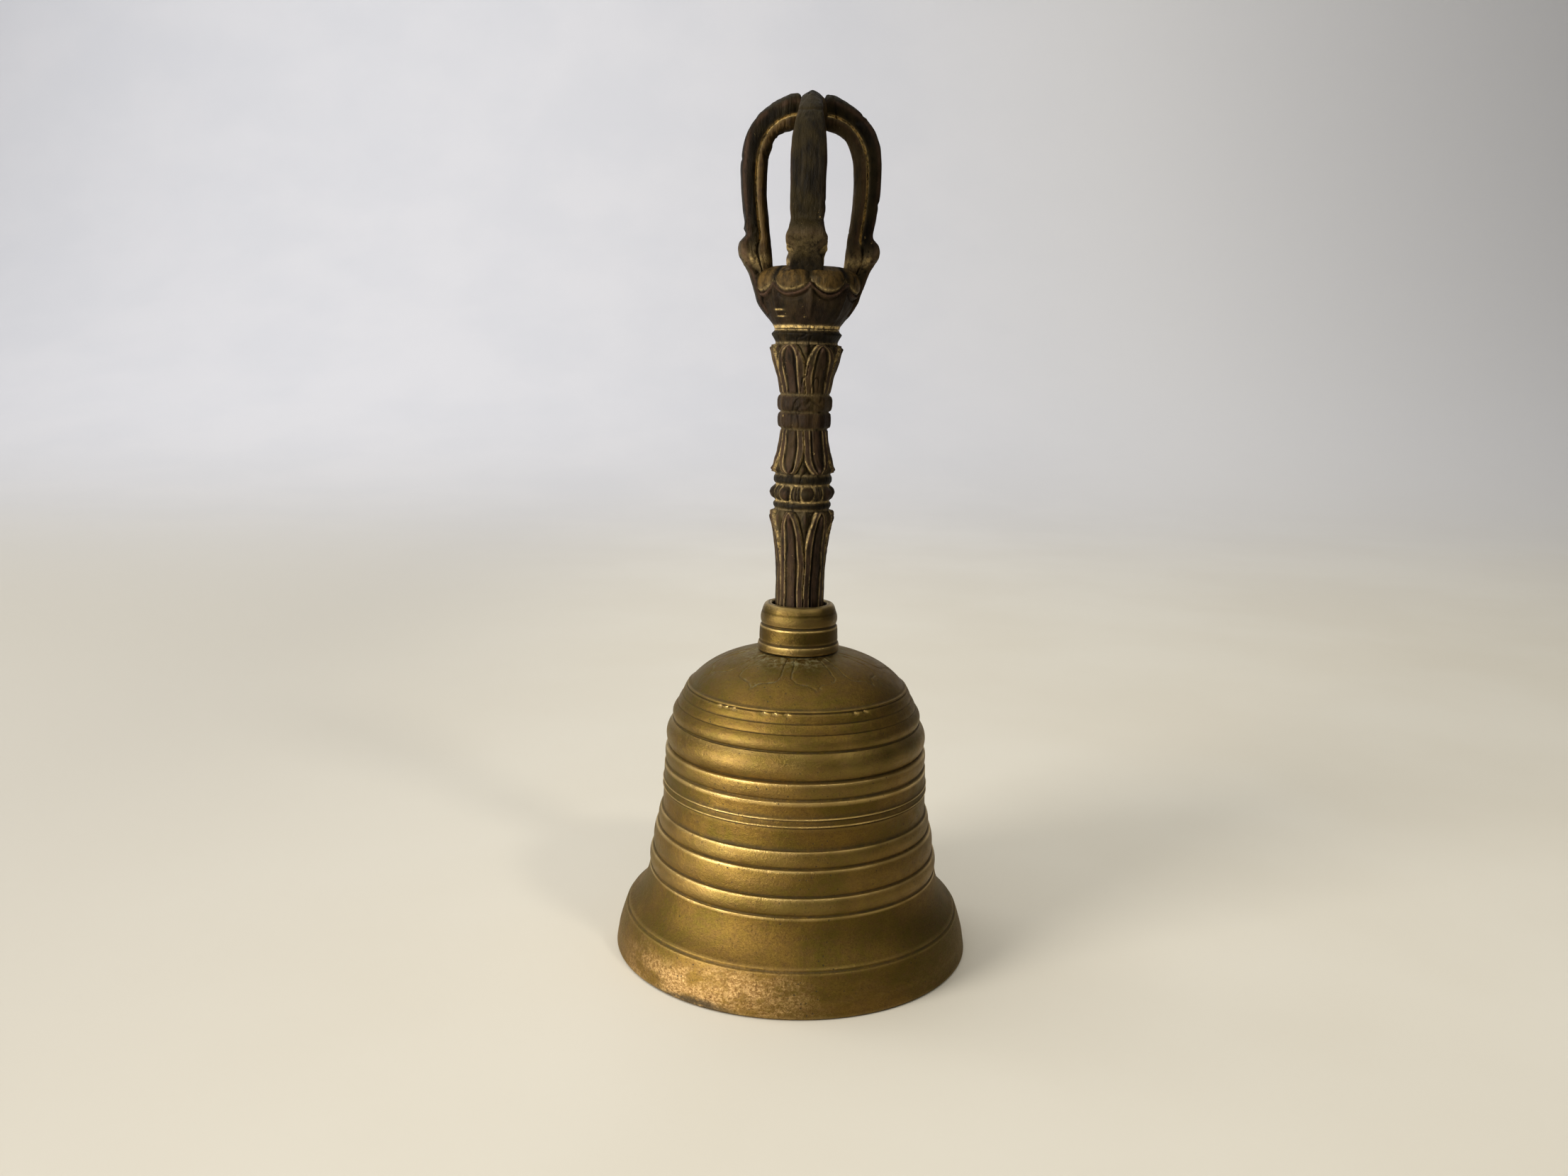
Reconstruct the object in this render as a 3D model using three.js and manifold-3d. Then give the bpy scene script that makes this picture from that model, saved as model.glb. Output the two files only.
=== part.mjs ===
// A five-pronged Buddhist hand bell: a turned brass bell, a brass socket on its crown,
// and a carved handle with a vajra head. An eye bolt through the crown holds the handle
// and hangs the clapper. Millimetres, +Z up, origin at the centre of the mouth, which is
// also the face that the bell stands on. The front of the bell looks along -Y.

import * as THREE from "three";
import { mergeVertices } from "three/addons/utils/BufferGeometryUtils.js";
import Module from "manifold-3d";

const wasm = await Module();
wasm.setup();

// ---- Driving dimensions -----------------------------------------------------------

const TOTAL_HEIGHT = 182;
const MOUTH_RADIUS = 39;
const LIP_THICKNESS = 3.4;
const CROWN_HEIGHT = 66.3;
const WALL = 2.7;
const BOLT_HOLE_RADIUS = 2.3;
const GAP = 0.3;

const COLLAR_FOOT = CROWN_HEIGHT + GAP;
const COLLAR_TOP = 76.8;
const SOCKET_RADIUS = 5.9;
const SOCKET_FLOOR = 69;

const HANDLE_FOOT = SOCKET_FLOOR + GAP;
const HANDLE_TOP = 134.9;
const TENON_RADIUS = 3.5;
const TENON_TOP = 139.5;

const CUP_FOOT = HANDLE_TOP + GAP;
const CUP_TOP = 145.4;
const CUP_SOCKET_FLOOR = 141;
const CENTRE_PRONG_FOOT_RADIUS = 2.4;

const PRONG_FOOT = CUP_TOP + GAP;
const PRONG_INNER_END = 3.3;
const PRONG_WIDTH = 6.3;
const PRONG_TIP_WIDTH = 4.4;
const PRONG_TAPER_START = 164;

const BOLT_RADIUS = 2;
const BOLT_TOP = 100;
const WIRE_RADIUS = 0.8;
const RING_RADIUS = 2.6;
const LINK_CLEARANCE = 0.4;
const EYE_HEIGHT = 55;
const LINK_LENGTH = 7;
const BALL_RADIUS = 5.2;
const BALL_HEIGHT = 12.5;

const BELL_SEGMENTS = 48;
const COLLAR_SEGMENTS = 40;
const HANDLE_SEGMENTS = 32;
const SMALL_SEGMENTS = 20;

// The clapper hangs as a chain of three links, each one's top wire lying on the wire below
// it. The first link is the eye of the bolt.
const WIRE_STEP = 2 * WIRE_RADIUS + LINK_CLEARANCE;
const HOOK_PIVOT = EYE_HEIGHT - RING_RADIUS;
const HOOK_TOP = HOOK_PIVOT + WIRE_STEP;
const CLAPPER_PIVOT = HOOK_TOP - LINK_LENGTH;
const CLAPPER_RING_HEIGHT = CLAPPER_PIVOT + WIRE_STEP - RING_RADIUS;

// ---- Materials --------------------------------------------------------------------

const brass = () =>
  new THREE.MeshStandardMaterial({ color: 0x8c7436, roughness: 0.38, metalness: 1 });
const wood = () =>
  new THREE.MeshStandardMaterial({ color: 0x33251a, roughness: 0.6, metalness: 0 });
const iron = () =>
  new THREE.MeshStandardMaterial({ color: 0x3c3630, roughness: 0.6, metalness: 1 });

// ---- Helpers ----------------------------------------------------------------------

// A solid of revolution about Z from [radius, height] points.
function turned(profile, segments) {
  const points = profile.map(([radius, height]) => new THREE.Vector2(radius, height));
  return new THREE.LatheGeometry(points, segments).rotateX(Math.PI / 2);
}

// A round band between two [radius, height] points, bowed outwards by swell. It leaves out
// its first point, so that bands follow one another.
function band([startRadius, startHeight], [endRadius, endHeight], swell, steps = 4) {
  const points = [];
  for (let i = 1; i <= steps; i++) {
    const t = i / steps;
    const bow = swell * Math.sin(Math.PI * t);
    points.push([
      THREE.MathUtils.lerp(startRadius, endRadius, t) + bow,
      THREE.MathUtils.lerp(startHeight, endHeight, t),
    ]);
  }
  return points;
}

// Points on a curve that leaves its start towards bend and reaches its end from there. It
// leaves out its first point.
function sweep(start, bend, end, steps) {
  const curve = new THREE.QuadraticBezierCurve(
    new THREE.Vector2(...start),
    new THREE.Vector2(...bend),
    new THREE.Vector2(...end),
  );
  return curve
    .getPoints(steps)
    .slice(1)
    .map((point) => [point.x, point.y]);
}

// A flat plate of the given outline, standing on the height and as thick as given.
function plate(shape, thickness, height) {
  const options = { depth: thickness, bevelEnabled: false, curveSegments: 12 };
  return new THREE.ExtrudeGeometry(shape, options).translate(0, 0, height);
}

// A chain link standing in the plane of X and Z, its sides lengthened by stretch.
function ring(radius, wireRadius, stretch) {
  const geometry = new THREE.TorusGeometry(radius, wireRadius, 10, 24).rotateX(Math.PI / 2);
  const position = geometry.getAttribute("position");
  for (let i = 0; i < position.count; i++) {
    const z = position.getZ(i);
    const side = Math.abs(z) < 1e-6 ? 0 : Math.sign(z);
    position.setZ(i, z + (side * stretch) / 2);
  }
  return geometry;
}

function toSolid(geometry) {
  const bare = geometry.clone();
  bare.deleteAttribute("normal");
  bare.deleteAttribute("uv");
  const merged = mergeVertices(bare, 1e-4);
  return new wasm.Manifold(
    new wasm.Mesh({
      numProp: 3,
      vertProperties: merged.getAttribute("position").array,
      triVerts: new Uint32Array(merged.index.array),
    }),
  );
}

function joined(first, second) {
  const mesh = toSolid(first).add(toSolid(second)).getMesh();
  return new THREE.BufferGeometry()
    .setAttribute("position", new THREE.BufferAttribute(mesh.vertProperties, 3))
    .setIndex(new THREE.BufferAttribute(mesh.triVerts, 1));
}

// ---- Bell and collar --------------------------------------------------------------

// The outside, from the lip up: a tapered lip band with a crisp edge, a hollow flare, three
// rounded bands, a plain waist with two fine ribs, three more bands, two lines and the dome.
function bellOutside() {
  const flareTop = [31.5, 18.2];
  const shoulder = [23.4, 59.2];
  return [
    [MOUTH_RADIUS, 0],
    [38.5, 3.5],
    [37, 8.6],
    [36.7, 9.5],
    [35.9, 9.7],
    ...sweep([35.9, 9.7], [32.4, 12.6], flareTop, 4),
    ...band(flareTop, [30.9, 22.1], 0.6),
    ...band([30.9, 22.1], [29.9, 27.6], 0.8),
    ...band([29.9, 27.6], [29.1, 31.4], 0.5, 3),
    [29, 36.2],
    [29.2, 37.1],
    [28.9, 38],
    [28.1, 41.4],
    ...band([28.1, 41.4], [27.8, 45.2], 0.6, 3),
    ...band([27.8, 45.2], [26.9, 51.1], 1.1, 5),
    ...band([26.9, 51.1], [26, 54.5], 0.6, 3),
    [25, 56.4],
    [24.2, 58.4],
    shoulder,
    ...sweep(shoulder, [18.6, 64.6], [9, CROWN_HEIGHT], 5),
    [BOLT_HOLE_RADIUS, CROWN_HEIGHT],
  ];
}

// The inside, from the crown down: a smooth hollow that follows the outside at the wall's
// thickness and thickens towards the lip.
function bellInside() {
  const ceiling = CROWN_HEIGHT - WALL;
  return [
    [BOLT_HOLE_RADIUS, ceiling],
    [9, ceiling - 0.3],
    ...sweep([9, ceiling - 0.3], [23.6, 61.6], [24.3, 50], 6),
    [26.2, 32],
    [28.3, 19.5],
    ...sweep([28.3, 19.5], [29.8, 12.4], [33.9, 8], 3),
    [MOUTH_RADIUS - LIP_THICKNESS, 0],
    [MOUTH_RADIUS, 0],
  ];
}

function bellShell() {
  return turned([...bellOutside(), ...bellInside()], BELL_SEGMENTS);
}

function collar() {
  return turned(
    [
      [BOLT_HOLE_RADIUS, COLLAR_FOOT],
      [8.8, COLLAR_FOOT],
      [8.75, 68.3],
      [8.45, 68.6],
      [8.35, 72.1],
      [8.1, 72.3],
      ...band([8.1, 72.3], [7.3, 76], 0.5, 4),
      [6.6, COLLAR_TOP],
      [SOCKET_RADIUS, COLLAR_TOP],
      [SOCKET_RADIUS, SOCKET_FLOOR],
      [BOLT_HOLE_RADIUS, SOCKET_FLOOR],
      [BOLT_HOLE_RADIUS, COLLAR_FOOT],
    ],
    COLLAR_SEGMENTS,
  );
}

// ---- Handle -----------------------------------------------------------------------

// From the foot up: a lotus that opens upwards, a ring, a band of bosses, a ring, a lotus that
// hangs down, two plain bands, a lotus that opens upwards and a sharp flange.
function handleShaft() {
  return turned(
    [
      [0, BOLT_TOP + GAP],
      [BOLT_HOLE_RADIUS, BOLT_TOP + GAP],
      [BOLT_HOLE_RADIUS, HANDLE_FOOT],
      [5, HANDLE_FOOT],
      [5, 84],
      [5.45, 89],
      [6.2, 94],
      [6.4, 96.2],
      [5.8, 97.3],
      ...band([5.8, 97.3], [5.8, 99], 0.4, 2),
      ...band([5.8, 99], [5.8, 102.6], 0.9),
      ...band([5.8, 102.6], [5.9, 104.7], 0.4, 2),
      [6.3, 106],
      ...sweep([6.3, 106], [5, 109.5], [4.8, 114.2], 3),
      ...band([4.8, 114.2], [4.9, 117.8], 0.7, 3),
      ...band([4.9, 117.8], [5, 121.4], 0.75, 3),
      [5.4, 123.2],
      [6.2, 126.6],
      [7.2, 130.2],
      [6.5, 131.9],
      [7.35, 133.7],
      [6.9, HANDLE_TOP],
      [TENON_RADIUS, HANDLE_TOP],
      [TENON_RADIUS, TENON_TOP],
      [0, TENON_TOP],
    ],
    HANDLE_SEGMENTS,
  );
}

function vajraCup() {
  const socketRadius = CENTRE_PRONG_FOOT_RADIUS + GAP;
  const mortiseRadius = TENON_RADIUS + GAP;
  return turned(
    [
      [mortiseRadius, CUP_FOOT],
      [7, CUP_FOOT],
      ...sweep([7, CUP_FOOT], [9.6, 139.5], [12.3, CUP_TOP], 5),
      [socketRadius, CUP_TOP],
      [socketRadius, CUP_SOCKET_FLOOR],
      [mortiseRadius, CUP_SOCKET_FLOOR - 1],
      [mortiseRadius, CUP_FOOT],
    ],
    HANDLE_SEGMENTS,
  );
}

// One outer prong, standing out along +X: an outward beak above the cup, then a claw that
// rises and closes on the axis. It narrows towards the tip.
function outerProng() {
  const outline = new THREE.Shape()
    .moveTo(6.6, PRONG_FOOT)
    .lineTo(12.3, PRONG_FOOT)
    .lineTo(14.3, 150.5)
    .lineTo(13.3, 152.4)
    .splineThru([
      new THREE.Vector2(14.2, 160),
      new THREE.Vector2(14.4, 167),
      new THREE.Vector2(12.8, 174.4),
      new THREE.Vector2(9, 178.7),
      new THREE.Vector2(PRONG_INNER_END, 181.5),
    ])
    .lineTo(PRONG_INNER_END, 174.4)
    .splineThru([
      new THREE.Vector2(6.6, 172.8),
      new THREE.Vector2(8.7, 166),
      new THREE.Vector2(8.4, 157),
      new THREE.Vector2(7, 150),
      new THREE.Vector2(6.6, PRONG_FOOT),
    ]);
  const options = { depth: PRONG_WIDTH, bevelEnabled: false, curveSegments: 3 };
  const geometry = new THREE.ExtrudeGeometry(outline, options)
    .rotateX(Math.PI / 2)
    .translate(0, PRONG_WIDTH / 2, 0);
  const position = geometry.getAttribute("position");
  for (let i = 0; i < position.count; i++) {
    const height = position.getZ(i);
    const narrowing = THREE.MathUtils.clamp(
      (height - PRONG_TAPER_START) / (TOTAL_HEIGHT - PRONG_TAPER_START),
      0,
      1,
    );
    const width = THREE.MathUtils.lerp(PRONG_WIDTH, PRONG_TIP_WIDTH, narrowing);
    position.setY(i, (position.getY(i) * width) / PRONG_WIDTH);
  }
  return geometry;
}

function centreProng() {
  return turned(
    [
      [0, CUP_SOCKET_FLOOR + GAP],
      [CENTRE_PRONG_FOOT_RADIUS, CUP_SOCKET_FLOOR + GAP],
      [CENTRE_PRONG_FOOT_RADIUS, 148],
      [2.8, 151],
      [2, 154],
      [1.9, 168],
      [2.7, 175],
      [2.6, 179],
      [0, TOTAL_HEIGHT],
    ],
    8,
  );
}

// ---- Fixings and clapper ----------------------------------------------------------

// The eye bolt passes through the crown and the collar's floor into the handle.
function eyeBolt() {
  const shankFoot = EYE_HEIGHT + RING_RADIUS;
  const shank = turned(
    [
      [0, shankFoot],
      [BOLT_RADIUS - 0.4, shankFoot],
      [BOLT_RADIUS, shankFoot + 1],
      [BOLT_RADIUS, BOLT_TOP - 1],
      [BOLT_RADIUS - 0.6, BOLT_TOP],
      [0, BOLT_TOP],
    ],
    SMALL_SEGMENTS,
  );
  return joined(shank, ring(RING_RADIUS, WIRE_RADIUS, 0).translate(0, 0, EYE_HEIGHT));
}

function holedPlate(outline, thickness, height) {
  const hole = new THREE.Path().absarc(0, 0, BOLT_HOLE_RADIUS, 0, 2 * Math.PI, true);
  outline.holes.push(hole);
  return plate(outline, thickness, height);
}

const WASHER_THICKNESS = 1;
const WASHER_HEIGHT = CROWN_HEIGHT - WALL - GAP - WASHER_THICKNESS - 0.1;
const NUT_THICKNESS = 2.6;
const NUT_HEIGHT = WASHER_HEIGHT - GAP - NUT_THICKNESS;

function crownWasher() {
  const outline = new THREE.Shape().absarc(0, 0, 5.5, 0, 2 * Math.PI, false);
  return holedPlate(outline, WASHER_THICKNESS, WASHER_HEIGHT);
}

function crownNut() {
  const corners = [0, 1, 2, 3, 4, 5].map(
    (i) => new THREE.Vector2(4.2, 0).rotateAround(new THREE.Vector2(), (i * Math.PI) / 3),
  );
  return holedPlate(new THREE.Shape(corners), NUT_THICKNESS, NUT_HEIGHT);
}

// The link that hangs on the eye. It stands in the plane of Y and Z.
function clapperHook() {
  const stretch = LINK_LENGTH - 2 * RING_RADIUS;
  return ring(RING_RADIUS, WIRE_RADIUS, stretch)
    .rotateZ(Math.PI / 2)
    .translate(0, 0, HOOK_TOP - LINK_LENGTH / 2);
}

function clapperShank() {
  const foot = BALL_HEIGHT + BALL_RADIUS + GAP;
  const head = CLAPPER_RING_HEIGHT - RING_RADIUS;
  const shank = turned(
    [
      [0, foot],
      [1.9, foot],
      [1.3, foot + 8],
      [1.1, head],
      [0, head],
    ],
    SMALL_SEGMENTS,
  );
  const eye = ring(RING_RADIUS, WIRE_RADIUS, 0).translate(0, 0, CLAPPER_RING_HEIGHT);
  return joined(shank, eye);
}

function clapperBall() {
  const profile = [];
  const steps = 10;
  for (let i = 0; i <= steps; i++) {
    const angle = (Math.PI * i) / steps - Math.PI / 2;
    profile.push([
      BALL_RADIUS * Math.cos(angle),
      BALL_HEIGHT + BALL_RADIUS * Math.sin(angle),
    ]);
  }
  profile[0][0] = 0;
  profile[steps][0] = 0;
  return turned(profile, SMALL_SEGMENTS);
}

// ---- Assembly ---------------------------------------------------------------------

const bell = new THREE.Group();

function add(name, geometry, material, turn = 0) {
  const mesh = new THREE.Mesh(geometry, material);
  mesh.name = name;
  mesh.rotation.z = THREE.MathUtils.degToRad(turn);
  bell.add(mesh);
}

add("bell_shell", bellShell(), brass());
add("collar", collar(), brass());
add("handle_shaft", handleShaft(), wood());
add("vajra_cup", vajraCup(), wood());

// Where each outer prong stands round the axis, in degrees from +X. Hand carving left them a
// little off the square.
const PRONG_ANGLES = { right: 6, back: 93, left: 183, front: 267 };
for (const [side, angle] of Object.entries(PRONG_ANGLES)) {
  add(`prong_${side}`, outerProng(), wood(), angle);
}
add("prong_centre", centreProng(), wood());

add("eye_bolt", eyeBolt(), iron());
add("crown_washer", crownWasher(), brass());
add("crown_nut", crownNut(), iron());
add("clapper_hook", clapperHook(), iron());
add("clapper_shank", clapperShank(), iron());
add("clapper_ball", clapperBall(), brass());

export default bell;
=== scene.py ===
import math

import bpy
import numpy as np
from mathutils import Matrix, Vector


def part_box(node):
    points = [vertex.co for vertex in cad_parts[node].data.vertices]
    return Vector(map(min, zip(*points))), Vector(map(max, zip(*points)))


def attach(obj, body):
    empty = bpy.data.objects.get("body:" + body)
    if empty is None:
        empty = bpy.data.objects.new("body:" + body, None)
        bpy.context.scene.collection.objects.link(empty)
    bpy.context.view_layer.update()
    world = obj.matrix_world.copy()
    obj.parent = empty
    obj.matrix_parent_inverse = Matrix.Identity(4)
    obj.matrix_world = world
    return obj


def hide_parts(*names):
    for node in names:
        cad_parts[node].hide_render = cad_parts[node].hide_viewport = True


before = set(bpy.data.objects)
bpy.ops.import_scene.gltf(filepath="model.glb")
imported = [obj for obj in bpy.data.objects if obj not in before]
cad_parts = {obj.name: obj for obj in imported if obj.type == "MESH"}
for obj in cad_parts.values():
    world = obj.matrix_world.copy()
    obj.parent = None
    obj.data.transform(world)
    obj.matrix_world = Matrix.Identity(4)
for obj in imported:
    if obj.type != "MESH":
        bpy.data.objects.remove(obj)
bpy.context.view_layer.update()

MM = 0.001
TAU = 2 * math.pi


def box_mm(node):
    """A CAD node's lowest and highest corners, in mm."""
    return [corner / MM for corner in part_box(node)]


# ---- Camera and lights ----

LENS_MM = 29.13
SENSOR_MM = 36
CAMERA_PLACE = Vector((-3.4, -270.4, 128.5)) * MM
CAMERA_PITCH_DEG = 10.2
CAMERA_ROLL_DEG = 1.45


def add_camera():
    data = bpy.data.cameras.new("camera")
    data.lens = LENS_MM
    data.sensor_width = SENSOR_MM
    data.clip_start = 0.01
    camera = bpy.data.objects.new("camera", data)
    bpy.context.scene.collection.objects.link(camera)
    pitch = Matrix.Rotation(math.radians(90 - CAMERA_PITCH_DEG), 4, "X")
    roll = Matrix.Rotation(math.radians(CAMERA_ROLL_DEG), 4, "Z")
    camera.matrix_world = Matrix.Translation(CAMERA_PLACE) @ pitch @ roll
    bpy.context.scene.camera = camera


# Area lights, as [name, place and target in m, width, height, watts, colour] rows.
BELL_MIDDLE = (0, 0, 0.06)
AREA_LIGHTS = [
    ("key", (-0.78, -0.54, 0.22), BELL_MIDDLE, 0.40, 0.50, 11.8, (1.0, 0.96, 0.91)),
    ("ceiling", (-0.30, 0.0, 1.5), (0.0, 0.1, 0), 2.6, 2.6, 16.5, (1.0, 0.985, 0.95)),
    ("fill", (0.95, -0.62, 0.12), BELL_MIDDLE, 0.16, 0.40, 0.18, (1.0, 0.95, 0.86)),
    ("wall_wash", (-0.72, 0.5, 1.2), (-0.18, 1.65, 0.46), 1.5, 1.0, 8.4, (0.93, 0.95, 1.0)),
    ("lamp", (0.42, -0.42, 0.62), BELL_MIDDLE, 0.1, 0.1, 1.1, (1.0, 0.95, 0.86)),
]
SKY_COLOUR = (0.80, 0.86, 1.0, 1)
SKY_STRENGTH = 0.02


def add_area_light(name, place, target, width, height, watts, colour):
    data = bpy.data.lights.new(name, "AREA")
    data.shape = "RECTANGLE"
    data.size = width
    data.size_y = height
    data.energy = watts
    data.color = colour
    light = bpy.data.objects.new(name, data)
    bpy.context.scene.collection.objects.link(light)
    towards = Vector(target) - Vector(place)
    light.location = place
    light.rotation_euler = towards.to_track_quat("-Z", "Y").to_euler()


def add_lights():
    for row in AREA_LIGHTS:
        add_area_light(*row)
    world = bpy.data.worlds.new("studio")
    world.use_nodes = True
    background = world.node_tree.nodes["Background"]
    background.inputs["Color"].default_value = SKY_COLOUR
    background.inputs["Strength"].default_value = SKY_STRENGTH
    bpy.context.scene.world = world
    bpy.context.scene.view_settings.view_transform = "Standard"
    bpy.context.scene.view_settings.look = "Medium High Contrast"


# ---- Node building ----


class Nodes:
    """Short ways to build one material's node tree."""

    def __init__(self, name):
        self.material = bpy.data.materials.new(name)
        self.material.use_nodes = True
        self.tree = self.material.node_tree
        self.shader = self.tree.nodes["Principled BSDF"]
        coordinates = self.tree.nodes.new("ShaderNodeTexCoord")
        self.place = coordinates.outputs["Object"]

    def link(self, value, socket):
        if isinstance(value, bpy.types.NodeSocket):
            self.tree.links.new(value, socket)
        else:
            socket.default_value = value

    def add(self, kind, **inputs):
        """A new node, with these inputs set. An underscore stands for a space in an input's name."""
        node = self.tree.nodes.new("ShaderNode" + kind)
        for name, value in inputs.items():
            self.link(value, node.inputs[name.replace("_", " ")])
        return node

    def shader_input(self, name, value):
        self.link(value, self.shader.inputs[name])

    def math(self, operation, a, b=0.5, clamp=False):
        node = self.tree.nodes.new("ShaderNodeMath")
        node.operation = operation
        node.use_clamp = clamp
        self.link(a, node.inputs[0])
        self.link(b, node.inputs[1])
        return node.outputs[0]

    def times(self, a, b, clamp=False):
        return self.math("MULTIPLY", a, b, clamp)

    def most(self, a, b):
        return self.math("MAXIMUM", a, b)

    def scaled(self, per_mm):
        """The place in the part times the number of features per mm along each axis."""
        node = self.tree.nodes.new("ShaderNodeVectorMath")
        node.operation = "MULTIPLY"
        self.link(self.place, node.inputs[0])
        node.inputs[1].default_value = [1000 * axis for axis in per_mm]
        return node.outputs[0]

    def noise(self, per_mm, detail=4.0, roughness=0.55, distortion=0.0):
        look = {"Detail": detail, "Roughness": roughness, "Distortion": distortion}
        return self.add("TexNoise", Vector=self.scaled(per_mm), Scale=1, **look).outputs["Fac"]

    def spots(self, per_mm, size):
        """1 in the middle of scattered round spots, 0 between them."""
        node = self.add("TexVoronoi", Vector=self.scaled(per_mm), Scale=1)
        return self.ramp(node.outputs["Distance"], size, size * 0.35)

    def ramp(self, value, low, high):
        """0 below low and 1 above high, with a smooth step between. High may be below low."""
        falls = low > high
        ends = {"From_Min": min(low, high), "From_Max": max(low, high)}
        node = self.add("MapRange", Value=value, To_Min=float(falls), To_Max=float(not falls), **ends)
        node.interpolation_type = "SMOOTHSTEP"
        return node.outputs["Result"]

    def patches(self, per_mm, detail, roughness, low, high, distortion=0.0):
        """Soft patches of noise: 0 where it is below low, 1 where it is above high."""
        return self.ramp(self.noise(per_mm, detail, roughness, distortion), low, high)

    def mask(self, name):
        """The values that the mesh holds under this name, one at each vertex."""
        node = self.tree.nodes.new("ShaderNodeAttribute")
        node.attribute_name = name
        return node.outputs["Fac"]

    def mix(self, share, a, b):
        """Colour a, with this share of colour b."""
        node = self.tree.nodes.new("ShaderNodeMix")
        node.data_type = "RGBA"
        self.link(share, node.inputs["Factor"])
        self.link(self.colour(a), node.inputs[6])
        self.link(self.colour(b), node.inputs[7])
        return node.outputs[2]

    def blend(self, share, a, b):
        """Value a, with this share of value b."""
        node = self.tree.nodes.new("ShaderNodeMix")
        self.link(share, node.inputs["Factor"])
        self.link(a, node.inputs[2])
        self.link(b, node.inputs[3])
        return node.outputs[0]

    @staticmethod
    def colour(value):
        return (*value, 1) if isinstance(value, tuple) and len(value) == 3 else value

    def along(self, axis):
        """The place along one axis, in mm."""
        node = self.tree.nodes.new("ShaderNodeSeparateXYZ")
        self.link(self.place, node.inputs[0])
        return self.times(node.outputs[axis], 1000.0)

    def bump(self, height, depth_mm, under=None):
        node = self.add("Bump", Distance=depth_mm * MM, Strength=1, Height=height)
        if under is not None:
            self.link(under, node.inputs["Normal"])
        return node.outputs["Normal"]


def brass_material(name, bright=1.0):
    """Old brass: olive and brown films over a golden body, grime in the grooves, a painted shadow line
    where the bell's lip meets the floor, bright worn edges.
    """
    golden = (0.205 * bright, 0.129 * bright, 0.032 * bright)
    olive = (0.132 * bright, 0.097 * bright, 0.019 * bright)
    brown = (0.160 * bright, 0.096 * bright, 0.032 * bright)
    dull, soot, dust = (0.110, 0.070, 0.020), (0.035, 0.024, 0.008), (0.215, 0.195, 0.105)
    dark_copper, pale_copper, polished = (0.19, 0.105, 0.040), (0.60, 0.41, 0.19), (0.70, 0.51, 0.21)
    n = Nodes(name)
    film = n.patches((0.05, 0.05, 0.07), 5, 0.6, 0.38, 0.64, 0.6)
    cloud = n.patches((0.45, 0.45, 0.7), 6, 0.75, 0.42, 0.62)
    grain = n.noise((2.2, 2.2, 3.5), 3, 0.7)
    colour = n.mix(film, golden, olive)
    colour = n.mix(n.times(cloud, 0.65), colour, brown)
    colour = n.mix(n.times(n.ramp(grain, 0.45, 0.65), 0.5), colour, dull)
    lip = n.times(n.mask("lip"), n.patches((0.12, 0.12, 0.25), 5, 0.65, 0.36, 0.6))
    flakes = n.patches((1.5, 1.5, 2.0), 6, 0.8, 0.40, 0.62)
    colour = n.mix(n.times(lip, 0.8), colour, n.mix(flakes, dark_copper, pale_copper))
    worn = n.mask("worn")
    colour = n.mix(n.times(worn, 0.85), colour, polished)
    # This mask holds grime in the grooves and, on the bell, painted shade: a dark line round the foot of
    # the lip.
    dirt_and_shade = n.times(n.mask("dirt_and_shade"), n.patches((0.5, 0.5, 0.8), 4, 0.7, 0.25, 0.55))
    pits = n.times(n.spots((0.75, 0.75, 0.75), 0.2), n.patches((0.1, 0.1, 0.1), 2, 0.55, 0.42, 0.62))
    specks = n.times(n.spots((1.6, 1.6, 1.6), 0.24), n.ramp(cloud, 0.1, 0.8))
    pits = n.most(pits, n.times(specks, 0.7))
    dark = n.most(n.times(dirt_and_shade, 0.85), n.times(pits, 0.8))
    colour = n.mix(dark, colour, soot)
    crust = n.times(n.mask("crust"), n.patches((0.9, 0.9, 0.9), 5, 0.75, 0.42, 0.62))
    colour = n.mix(n.times(crust, 0.75), colour, dust)
    n.shader_input("Base Color", colour)
    matt = n.most(dark, crust)
    n.shader_input("Metallic", n.blend(matt, 0.93, 0.3))
    rough = n.blend(n.patches((0.2, 0.2, 0.3), 5, 0.7, 0.3, 0.7), 0.42, 0.56)
    rough = n.blend(lip, rough, 0.46)
    below_bands = n.ramp(n.along("Z"), 18.4, 17.8)
    rough = n.blend(below_bands, rough, n.blend(grain, 0.42, 0.66))
    rough = n.blend(n.times(worn, 0.75), rough, 0.2)
    n.shader_input("Roughness", n.blend(matt, rough, 0.7))
    normal = n.bump(n.noise((0.15, 0.15, 5.0), 3, 0.7), 0.012)
    normal = n.bump(n.noise((0.7, 0.7, 0.9), 6, 0.75), 0.16, normal)
    normal = n.bump(n.noise((3.5, 3.5, 3.5), 3, 0.8), 0.035, normal)
    holes = n.times(n.most(pits, n.times(lip, 0.6)), grain)
    normal = n.bump(n.math("SUBTRACT", 1.0, holes), 0.05, normal)
    n.shader_input("Normal", normal)
    return n.material


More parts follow.
